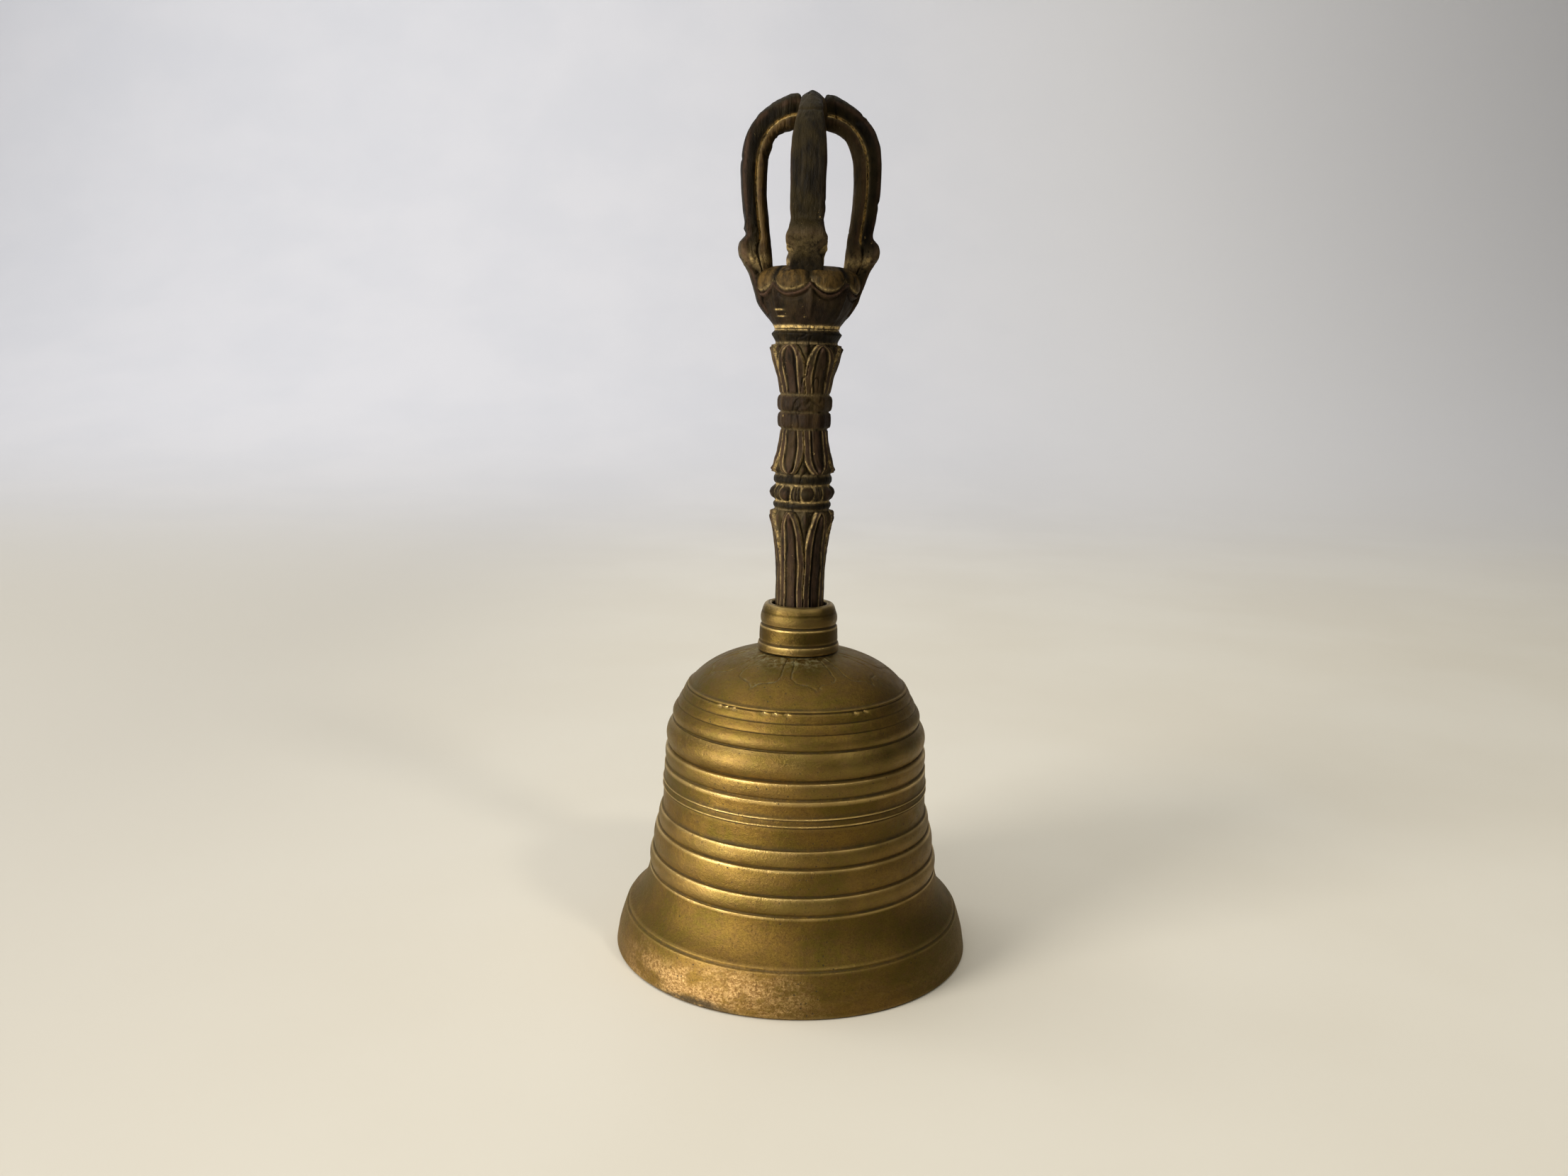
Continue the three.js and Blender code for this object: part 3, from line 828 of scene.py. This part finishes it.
def weathered(points, seed):
    """Small changes of surface height, in mm: grain streaks, tool marks and splits along the grain."""
    streaks = 0.045 * value_noise(points, (0.35, 0.35, 4.5), seed)
    marks = 0.05 * value_noise(points, (0.9, 0.9, 1.6), seed + 1)
    swell = 0.07 * value_noise(points, (3.2, 3.2, 4.5), seed + 2)
    split = -0.3 * hill(value_noise(points, (1.5, 1.5, 16), seed + 3), 0.03)
    split = split * smooth_step(0.1, 0.5, value_noise(points, (4, 4, 7), seed + 4))
    return streaks + marks + swell + split


def make_shaft():
    heights = np.arange(HANDLE_FOOT, HANDLE_TOP, 0.16)
    outline = np.array(SHAFT_OUTLINE)
    radius = np.interp(heights, outline[:, 0], outline[:, 1])
    near = np.convolve(np.pad(radius, 1, mode="edge"), [0.25, 0.5, 0.25], mode="valid")
    rings = turned_rings(list(zip(near, heights)), SHAFT_POINTS)
    angles, radii = polar(rings)
    masks = empty_masks("gilt", "worn", "bare")
    for i, ring in enumerate(rings):
        depth, gilt, ridge = carve_shaft(ring, angles[i])
        swell_ring(ring, depth + weathered(ring, 40), radii[i])
        masks["gilt"].append(gilt)
        masks["worn"].append(ridge)
        masks["bare"].append(0.25 * smooth_step(0.2, 0.7, value_noise(ring, (2.5, 2.5, 6), 47)))
    piece = ring_mesh("carved_shaft", rings, masks, closed=False)
    place_piece(piece, wood_material("carved_lacquer", 0.62), "bell", "carved_wood", "handle_shaft")


# ---- Vajra head ----

TOTAL_HEIGHT = box_mm("prong_centre")[1].z
CUP_LOBES = 8
CUP_POINTS = 224
# Outline of the cup before carving, as [height, radius] rows.
CUP_OUTLINE = [
    (HANDLE_TOP, 6.75), (CUP_FOOT + 0.2, 6.9), (136.0, 7.4), (137.3, 8.25), (138.9, 9.15),
    (140.6, 9.85), (142.3, 10.3), (143.8, 10.5), (145.1, 10.3), (146.2, 9.6), (146.9, 8.6),
]
CUP_TOP, CUP_RIM_RADIUS = CUP_OUTLINE[-1]
SWAG_HEIGHT = 141.7


def make_cup():
    """The cup under the prongs: a plain flared foot, then bulging lobes whose lower edges hang like
    swags, closed in over the top."""
    heights = np.arange(HANDLE_TOP - 0.05, CUP_TOP, 0.17)
    rows = list(zip(np.interp(heights, *zip(*CUP_OUTLINE)), heights))
    rows += bent((CUP_RIM_RADIUS, CUP_TOP), (7.8, 147.6), (5.4, 147.3), 14)
    rows += bent((5.4, 147.3), (3.2, 147.0), (1.0, 147.9), 10)
    rings = turned_rings(rows, CUP_POINTS)
    angles, radii = polar(rings)
    masks = empty_masks("gilt", "worn", "bare")
    for i, ring in enumerate(rings):
        height = ring[:, 2]
        wobble = value_noise(ring, (3, 3, 5), 61)
        part = ((angles[i] - math.radians(-88) + 0.06 * wobble) / (TAU / CUP_LOBES)) % 1
        cusp = np.abs(2 * part - 1)
        above = height - (SWAG_HEIGHT + 2.3 * cusp**2.4 + 0.25 * wobble)
        bulging = smooth_step(0, 0.5, above) * (1 - smooth_step(3.8, 7.0, above))
        lobe = 1.1 * np.sqrt(np.clip(np.sin(np.pi * part), 0, 1)) * bulging
        lobe = lobe - 0.5 * (above > 0) * (above < 7)
        edge = 0.5 * hill(above + 0.2, 0.4) * (1 - 0.8 * hill(cusp - 1, 0.3))
        crease = -0.35 * hill(above - 0.55, 0.3) - 0.35 * hill(above + 0.95, 0.3)
        keel = 0.45 * hill(cusp - 1, 0.13) * (above < 0) * smooth_step(CUP_FOOT, 139, height)
        depth = (lobe + edge + crease + keel) * smooth_step(6, 8, radii[i])
        depth = depth * smooth_step(136, 137.5, height) + weathered(ring, 62)
        swell_ring(ring, depth, np.maximum(radii[i], 2))
        scratches = hill(height - 138.5, 0.16) + hill(height - 137.2, 0.12)
        scratches *= hill(angles[i] - math.radians(-131), 0.11)
        rings_of_gilt = 0.9 * hill(height - CUP_FOOT, 0.4) + 0.5 * hill(above - 0.75, 0.35)
        masks["gilt"].append(rings_of_gilt + 1.4 * scratches)
        masks["worn"].append(hill(above + 0.15, 0.4) + 0.25 * (above < 0))
        masks["bare"].append(smooth_step(0.4, 1.6, above) * smooth_step(0.1, 0.5, np.sin(np.pi * part)))
    piece = ring_mesh("carved_cup", rings, masks, closed=False)
    place_piece(piece, wood_material("cup_lacquer"), "bell", "carved_wood", "vajra_cup")


# Outer and inner edge of an outer prong, as [radius, height] rows from its root to its tip.
PRONG_OUTER = [
    (8.6, 137.4), (10.3, 139.8), (11.2, 142.3), (11.9, 144.5), (12.6, 146.3), (13.4, 147.6),
    (13.9, 148.4), (14.35, 149.2), (14.5, 150.2), (14.5, 151.2), (14.3, 152.1), (13.8, 152.8),
    (13.15, 153.9), (13.5, 156.5), (14.1, 161), (14.4, 166), (14.05, 171), (12.9, 174.5),
    (10.6, 177.6), (7.6, 179.9), (4.8, 181.3), (2.9, 181.6), (2.4, 180.9),
]
PRONG_INNER = [
    (5.2, 139.0), (6.2, 141.4), (6.9, 143.8), (7.25, 145.8), (7.4, 147.2), (7.5, 148.2),
    (7.6, 149.2), (7.7, 150.3), (7.8, 151.2), (7.9, 152), (7.95, 152.7), (8.1, 153.8),
    (8.45, 156.2), (8.85, 160), (8.95, 164.5), (8.7, 168.2), (7.9, 171), (6.8, 172.8),
    (5.2, 173.9), (3.8, 174.3), (2.9, 174.5), (2.4, 175.1),
]
# Half of a prong's section: place across its thickness, 0 inside and 1 outside, and half width.
# It runs from the middle of the outer face over the outer strip, the groove and the inner roll.
PRONG_SECTION = [
    (1.0, 0.0), (0.985, 0.3), (0.965, 0.62), (0.945, 0.84), (0.895, 0.965), (0.80, 1.0),
    (0.66, 1.0), (0.54, 0.97), (0.475, 0.88), (0.435, 0.70), (0.40, 0.84), (0.34, 0.955),
    (0.24, 0.965), (0.14, 0.88), (0.06, 0.70), (0.015, 0.40), (0.0, 0.0),
]
GROOVE = 0.435
PRONG_STEPS = 300
PRONG_POINTS = 88
# Where each prong stands, in degrees, its half width, and its first random seed.
PRONGS = {
    "right": (6, 3.2, 70), "back": (93, 3.3, 80), "left": (183, 3.2, 90), "front": (267, 3.5, 100),
}
# Chips in each prong, as [height, place across its thickness, depth, size] rows. A negative depth
# is a sliver that stands proud.
PRONG_CHIPS = {
    "right": [(176.3, 0.75, 0.6, 0.5), (177.6, 0.9, 0.4, 0.4), (160, 1.0, 0.3, 0.6)],
    "back": [(158, 0.2, 0.8, 1.5), (171, 0.1, 0.5, 1.2)],
    "left": [
        (172.5, 0.0, 0.9, 1.4), (169, 0.05, 0.5, 0.8), (168.4, 1.0, 0.3, 0.5), (154.9, 1.0, -0.55, 0.8),
    ],
    "front": [(176.6, 0.8, 0.45, 0.3), (155.6, 0.5, 0.7, 0.9), (159, 0.45, 0.5, 0.5)],
}
BEAK_HEIGHT = 150.9
FRONT_BEAK_LIFT = 2.2


def prong_section():
    """The closed section, with even steps, and a mask that marks the groove on its two sides."""
    half = curve_through(PRONG_SECTION, PRONG_POINTS // 2 + 1)
    whole = np.vstack([half, half[-2:0:-1] * [1, -1]])
    groove = hill(whole[:, 0] - GROOVE, 0.05) * (np.abs(whole[:, 1]) > 0.7)
    return whole[:, 0], whole[:, 1], groove


def prong_edges(lift):
    """The prong's outer and inner edges with even steps. The front one's beak is lifted and slimmer."""
    outer, inner = curve_through(PRONG_OUTER, PRONG_STEPS), curve_through(PRONG_INNER, PRONG_STEPS)
    outer[:, 0] -= 1.25 * lift * (1 - smooth_step(145, 151, outer[:, 1]))
    for edge in (outer, inner):
        up = edge[:, 1]
        edge[:, 1] = up + lift * smooth_step(143, 149, up) * (1 - smooth_step(153, 163, up))
    return outer, inner


def chipped(grid, across, chips, seed):
    """The prong's grid of points with tool marks, splits and chips. Its two ends stay as they are."""
    change = np.stack([weathered(ring, seed) for ring in grid])
    for height, place, depth, reach in chips:
        spot = hill(grid[..., 2] - height, reach) * hill(across - place, 0.25)
        change -= depth * spot * (0.6 + 0.4 * value_noise(grid, (0.5, 0.5, 0.7), seed + 7))
    ends = np.minimum(np.arange(PRONG_STEPS), np.arange(PRONG_STEPS)[::-1])[:, None]
    grid = grid + outward(grid) * (change * smooth_step(0, 4, ends))[..., None]
    grid[..., 0] = np.maximum(grid[..., 0], 0.2)
    return grid


def make_prong(side, material):
    """One outer prong, with its beak above the cup."""
    direction, half_width, seed = PRONGS[side]
    is_front = side == "front"
    lift = FRONT_BEAK_LIFT if is_front else 0
    knob, hollow = (1.0, 1.5) if is_front else (1.5, 1.0)
    across, side_way, groove = prong_section()
    rings = []
    masks = empty_masks("gilt", "worn", "bare")
    for high, low in zip(*prong_edges(lift)):
        r, z = (low[k] + (high[k] - low[k]) * across for k in (0, 1))
        middle = (low[1] + high[1]) / 2
        half = half_width - 1.25 * smooth_step(170, 180.5, high[1])
        half -= 0.7 * (1 - smooth_step(140, 149, middle))
        half -= 0.35 * half * smooth_step(5.5, 2.4, high[0]) * (middle > 170)
        up = z - (BEAK_HEIGHT + lift - (1 - across) * 5.4)
        beak = hill(up, knob) * smooth_step(0.15, 0.6, across)
        under = hill(up + 2.4, hollow) * smooth_step(0.2, 0.6, across)
        neck = hill(middle - 153.6 - lift, 1.4)
        width = half + 0.7 * beak - (0.5 + 0.3 * lift) * under - 0.2 * neck
        grooved = smooth_step(151.2, 153, middle) * (1 - smooth_step(180.8, 181.8, middle))
        filled = 1 + 0.22 * (1 - grooved) * hill(across - GROOVE, 0.07) * (across > 0.02)
        r = r + 0.15 * beak * smooth_step(0.8, 1, across)
        z = z - 0.85 * side_way**2 * across * smooth_step(177, 181, high[1])
        rings.append(np.stack([r, side_way * width * filled, z], 1))
        pool = 0.5 * hill(middle - 148.5 - lift, 2.2) * (0.4 + 0.6 * (across < 0.7))
        masks["gilt"].append(groove * grooved * 0.95 + pool)
        corner = (hill(across - 0.86, 0.07) + hill(across - 0.3, 0.09)) * (np.abs(side_way) > 0.85)
        rubbed = np.clip(corner * 0.8 + beak * 0.45, 0, 1)
        # The front prong gets only 0.6 of the rubbed colour: painted shade that keeps it darker than the
        # side prongs, since the key light only grazes it.
        masks["worn"].append(rubbed * (0.6 if is_front else 1))
        masks["bare"].append(0.75 * (across < 0.38) * (0.4 + 0.6 * smooth_step(0, 1, side_way)))
    grid = chipped(np.array(rings), across, PRONG_CHIPS[side], seed)
    turn = np.array(Matrix.Rotation(math.radians(direction), 3, "Z"))
    piece = ring_mesh(f"carved_prong_{side}", list(grid @ turn.T), masks, closed=False)
    place_piece(piece, material, "bell", "carved_wood", f"prong_{side}")


def make_centre_prong(material):
    rows = [(0.9, 147.5), (2.0, 149), (2.7, 150.6), (2.9, 151.4), (2.4, 152.6), (1.9, 154.2), (2.2, 157)]
    rows += [(2.45, 161), (2.4, 168), (2.5, 173), (2.9, 176), (2.9, 179), (1.9, 180.9)]
    rows = curve_through(rows + [(0.4, TOTAL_HEIGHT)], 180)
    rings = turned_rings(rows, 64)
    angles, radii = polar(rings)
    masks = empty_masks("gilt", "worn", "bare")
    for i, ring in enumerate(rings):
        square = 0.22 * np.cos(4 * angles[i] + 0.2) * smooth_step(152, 156, rows[i][1])
        depth = (square + weathered(ring, 131)) * np.clip(radii[i] / 2, 0, 1)
        swell_ring(ring, depth, np.maximum(radii[i], 0.5))
        masks["gilt"].append(0.4 * smooth_step(0.3, 0.8, value_noise(ring, (1.5, 1.5, 3), 137)))
        masks["worn"].append(np.full(len(ring), 0.3))
        masks["bare"].append(np.full(len(ring), 0.3))
    piece = ring_mesh("carved_centre_prong", rings, masks, closed=False)
    place_piece(piece, material, "bell", "carved_wood", "prong_centre")


# ---- Fixings and clapper ----

WIRE_RADIUS = 0.8
THREAD_RADIUS = 2.0
THREAD_PITCH = 0.7
THREAD_TURNS = 7
NUT_POINTS = 96
BALL_STEPS = 60


def facing_out(piece):
    """The closed piece, with its faces turned outwards."""
    mesh = piece.data
    volume = 0
    for polygon in mesh.polygons:
        corners = [mesh.vertices[v].co for v in polygon.vertices]
        for before, after in zip(corners[1:-1], corners[2:]):
            volume += corners[0].dot(before.cross(after))
    if volume < 0:
        mesh.flip_normals()
    return piece


def bent_wire(name, path, points=40):
    """A closed ring of forged wire along a closed path, a little thicker where it was hammered."""
    path = np.array(path)
    count = len(path)
    along = np.roll(path, -1, 0) - np.roll(path, 1, 0)
    along /= np.linalg.norm(along, axis=1, keepdims=True)
    across = np.cross(path[count // 4] - path[0], path[count // 2] - path[0])
    across /= np.linalg.norm(across)
    side = np.cross(along, across)
    rings = []
    for i in range(count):
        angle = np.arange(points) * TAU / points
        swell = WIRE_RADIUS * (1 + 0.05 * math.sin(5 * TAU * i / count) + 0.04 * np.cos(4 * angle))
        out = np.outer(np.cos(angle), side[i]) + np.outer(np.sin(angle), across)
        rings.append(path[i] + swell[:, None] * out)
    return facing_out(ring_mesh(name, rings, {}, closed=True))


def loop_path(height, radius, stretch, plane, count=120):
    """A round loop about a point on Z, in the plane of Z and X or Y, with longer sides by stretch."""
    path = []
    for i in range(count):
        angle = TAU * i / count
        flat, up = radius * math.cos(angle), radius * math.sin(angle)
        up += stretch / 2 * max(-1, min(1, 6 * math.sin(angle)))
        path.append([flat, 0, height + up] if plane == "x" else [0, flat, height + up])
    return path


def turned_piece(name, rows, count, hammer, seed):
    """A piece turned about Z from [radius, height] rows, hammered uneven by this many mm."""
    rows = fill_in(rows, 0.4)
    rings = turned_rings(rows, count)
    for ring in rings:
        radius = np.maximum(np.hypot(ring[:, 0], ring[:, 1]), 0.05)
        swell_ring(ring, hammer * value_noise(ring, (1.4, 1.4, 1.8), seed), radius)
    return facing_out(ring_mesh(name, rings, {}, closed=False))


def make_eye_bolt(iron):
    low, high = box_mm("eye_bolt")
    ring_radius = (high.x - low.x) / 2 - WIRE_RADIUS
    middle = low.z + WIRE_RADIUS + ring_radius
    neck = middle + ring_radius
    eye = bent_wire("eye_bolt_eye", loop_path(middle, ring_radius, 0, "x"))
    rows = [[0.2, neck - 0.3], [1.5, neck - 0.1], [1.95, neck + 0.9]]
    thread_foot = neck + 1.2
    for i in range(THREAD_TURNS):
        start = thread_foot + i * THREAD_PITCH
        rows += [[THREAD_RADIUS - 0.3, start], [THREAD_RADIUS, start + THREAD_PITCH / 2]]
    rows += [[THREAD_RADIUS, thread_foot + THREAD_TURNS * THREAD_PITCH], [THREAD_RADIUS, high.z - 1]]
    rows += [[1.4, high.z - 0.1], [0.2, high.z]]
    shank = turned_piece("eye_bolt_shank", rows, 48, 0.02, 151)
    for piece in (eye, shank):
        place_piece(piece, iron, "bell", "forged_iron", "eye_bolt")


def make_washer(brass):
    low, high = box_mm("crown_washer")
    rows = [[HOLE_RADIUS, low.z], [high.x - 0.2, low.z], [high.x, low.z + 0.2], [high.x, high.z - 0.2]]
    rows = fill_in(rows + [[high.x - 0.2, high.z], [HOLE_RADIUS, high.z]], 0.3)
    washer = facing_out(ring_mesh("washer", turned_rings(rows, NUT_POINTS), {}, closed=True))
    place_piece(washer, brass, "bell", "cast_brass", "crown_washer")


def make_nut(iron):
    low, high = box_mm("crown_nut")
    angle = np.arange(NUT_POINTS) * TAU / NUT_POINTS
    flats = high.x * np.cos(math.pi / 6) / np.cos((angle % (TAU / 6)) - math.pi / 6)
    rings = []
    for z, cut in ((low.z, 0.35), (low.z + 0.35, 0.0), (high.z - 0.35, 0.0), (high.z, 0.35)):
        radius = np.minimum(flats, high.x - cut)
        rings.append(np.stack([radius * np.cos(angle), radius * np.sin(angle), np.full(NUT_POINTS, z)], 1))
    rings += turned_rings([(HOLE_RADIUS, high.z), (HOLE_RADIUS, low.z)], NUT_POINTS)
    nut = facing_out(ring_mesh("hexagon_nut", rings, {}, closed=True))
    place_piece(nut, iron, "bell", "forged_iron", "crown_nut")


def make_link(iron):
    low, high = box_mm("clapper_hook")
    radius = high.y - WIRE_RADIUS
    stretch = high.z - low.z - 2 * high.y
    path = loop_path((low.z + high.z) / 2, radius, stretch, "y")
    link = bent_wire("hanging_link", path)
    place_piece(link, iron, "clapper_link", "forged_iron", "clapper_hook")


def make_clapper_rod(iron):
    low, high = box_mm("clapper_shank")
    ring_radius = high.x - WIRE_RADIUS
    middle = high.z - ring_radius - WIRE_RADIUS
    eye = bent_wire("clapper_eye", loop_path(middle, ring_radius, 0, "x"))
    top = middle - ring_radius
    rows = [[0.2, low.z], [1.7, low.z + 0.05], [1.9, low.z + 0.4], [1.75, low.z + 2]]
    rows += [[1.3, low.z + 8], [1.1, top - 2.5], [1.25, top - 0.6], [0.9, top + 0.3], [0.2, top + 0.5]]
    rod = turned_piece("clapper_rod", rows, 56, 0.06, 161)
    for piece in (eye, rod):
        place_piece(piece, iron, "clapper", "forged_iron", "clapper_shank")


def make_ball(brass):
    """The striker, with the faint seam of its casting round the middle."""
    low, high = box_mm("clapper_ball")
    radius, centre = (high.z - low.z) / 2, (high.z + low.z) / 2
    rows = []
    for i in range(1, BALL_STEPS):
        angle = math.pi * i / BALL_STEPS - math.pi / 2
        seam = 0.06 * hill(angle, 0.05)
        rows.append([(radius + seam) * math.cos(angle) * 0.985, centre + radius * math.sin(angle)])
    ball = turned_piece("striker_ball", rows, 96, 0.04, 171)
    place_piece(ball, brass, "clapper", "clapper_brass", "clapper_ball")


# ---- Stage ----

# In metres: the floor's rows from front to back, how far it reaches to each side in front and
# behind, the radius of the curve that turns it up into the wall, and the wall's top.
FLOOR_ROWS = (-0.34, -0.1, 0.12, 0.75)
FRONT_HALF, BACK_HALF = 0.42, 1.9
WALL_CURVE = 0.9
WALL_TOP = 2.6


def make_stage():
    """A pale floor that curves up into a wall behind the bell."""
    rows = [(y, 0.0) for y in FLOOR_ROWS]
    for i in range(1, 13):
        angle = math.pi / 2 * i / 12
        rows.append((FLOOR_ROWS[-1] + WALL_CURVE * math.sin(angle), WALL_CURVE * (1 - math.cos(angle))))
    rows.append((FLOOR_ROWS[-1] + WALL_CURVE, WALL_TOP))
    points = []
    for y, z in rows:
        half = BACK_HALF if y >= FLOOR_ROWS[-1] else FRONT_HALF
        points += [(-half, y, z), (half, y, z)]
    faces = [(2 * i, 2 * i + 1, 2 * i + 3, 2 * i + 2) for i in range(len(rows) - 1)]
    mesh = bpy.data.meshes.new("backdrop")
    mesh.from_pydata(points, [], faces)
    mesh.polygons.foreach_set("use_smooth", np.ones(len(mesh.polygons), bool))
    mesh.materials.append(stage_material())
    backdrop = bpy.data.objects.new("backdrop", mesh)
    bpy.context.scene.collection.objects.link(backdrop)


# ---- Making ----

add_camera()
add_lights()
make_stage()
make_bell()
make_collar()
make_shaft()
make_cup()
head_wood = wood_material("head_lacquer")
for prong_side in PRONGS:
    make_prong(prong_side, head_wood)
make_centre_prong(head_wood)
forged = iron_material("forged_iron_skin")
make_eye_bolt(forged)
make_washer(brass_material("washer_brass", 0.8))
make_nut(forged)
make_link(forged)
make_clapper_rod(forged)
make_ball(brass_material("striker_brass", 0.9))
